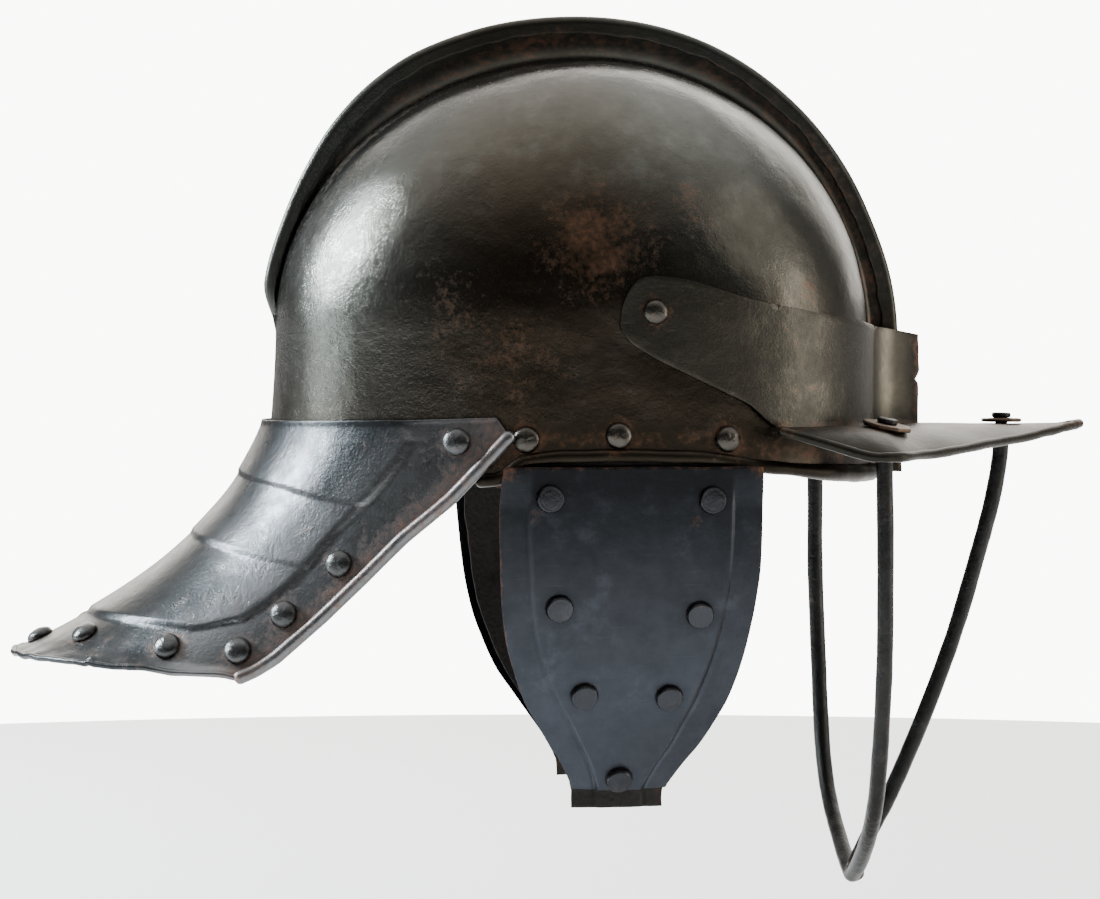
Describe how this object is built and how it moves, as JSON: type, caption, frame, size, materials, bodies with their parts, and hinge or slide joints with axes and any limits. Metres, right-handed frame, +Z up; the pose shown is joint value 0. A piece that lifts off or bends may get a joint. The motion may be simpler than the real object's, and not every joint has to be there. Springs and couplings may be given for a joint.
{
  "type": "lobster-tailed pot helmet",
  "caption": "Steel helmet with a combed skull, flared neck guard, hinged peak with barred face guard, and riveted cheek plates on leather.",
  "frame": {"origin": "crown of the skull on its middle plane, where a head holds the helmet", "axes": "+X to the front, +Y to the wearer's left, +Z up"},
  "size_m": [0.3833, 0.1872, 0.3107],
  "materials": {
    "skull_steel": "hammered, dark brown patina",
    "neck_steel": "scoured grey",
    "peak_steel": "dull, brown-grey",
    "bar_steel": "forged, dark",
    "cheek_steel": "smooth, blackened",
    "rivet_iron": "worn iron",
    "leather": "old black leather"
  },
  "bodies": {
    "skull": {"skull_right": "skull_steel", "skull_left": "skull_steel", "neck_guard": "neck_steel", "cheek_plate_right": "cheek_steel", "cheek_plate_left": "cheek_steel", "cheek_leather_right": "leather", "cheek_leather_left": "leather", "skull_rivet_right_1": "rivet_iron", "skull_rivet_right_2": "rivet_iron", "skull_rivet_right_3": "rivet_iron", "skull_rivet_left_1": "rivet_iron", "skull_rivet_left_2": "rivet_iron", "skull_rivet_left_3": "rivet_iron", "neck_rivet_right_1": "rivet_iron", "neck_rivet_right_2": "rivet_iron", "neck_rivet_right_3": "rivet_iron", "neck_rivet_right_4": "rivet_iron", "neck_rivet_right_5": "rivet_iron", "neck_rivet_right_6": "rivet_iron", "neck_rivet_left_1": "rivet_iron", "neck_rivet_left_2": "rivet_iron", "neck_rivet_left_3": "rivet_iron", "neck_rivet_left_4": "rivet_iron", "neck_rivet_left_5": "rivet_iron", "neck_rivet_left_6": "rivet_iron", "neck_rivet_centre": "rivet_iron", "cheek_rivet_right_1": "rivet_iron", "cheek_rivet_right_2": "rivet_iron", "cheek_rivet_right_3": "rivet_iron", "cheek_rivet_right_4": "rivet_iron", "cheek_rivet_right_5": "rivet_iron", "cheek_rivet_right_6": "rivet_iron", "cheek_rivet_right_7": "rivet_iron", "cheek_rivet_left_1": "rivet_iron", "cheek_rivet_left_2": "rivet_iron", "cheek_rivet_left_3": "rivet_iron", "cheek_rivet_left_4": "rivet_iron", "cheek_rivet_left_5": "rivet_iron", "cheek_rivet_left_6": "rivet_iron", "cheek_rivet_left_7": "rivet_iron", "pivot_rivet_right": "rivet_iron", "pivot_rivet_left": "rivet_iron"},
    "peak": {"peak": "peak_steel", "face_bars": "bar_steel", "washer_right": "rivet_iron", "washer_left": "rivet_iron", "washer_centre": "rivet_iron"}
  },
  "joints": [
    {"name": "peak_hinge", "type": "hinge", "parent": "skull", "child": "peak", "pos_m": [0.0144, 0, -0.0901], "axis": [0, -1, 0], "range_deg": [0, 60]}
  ]
}
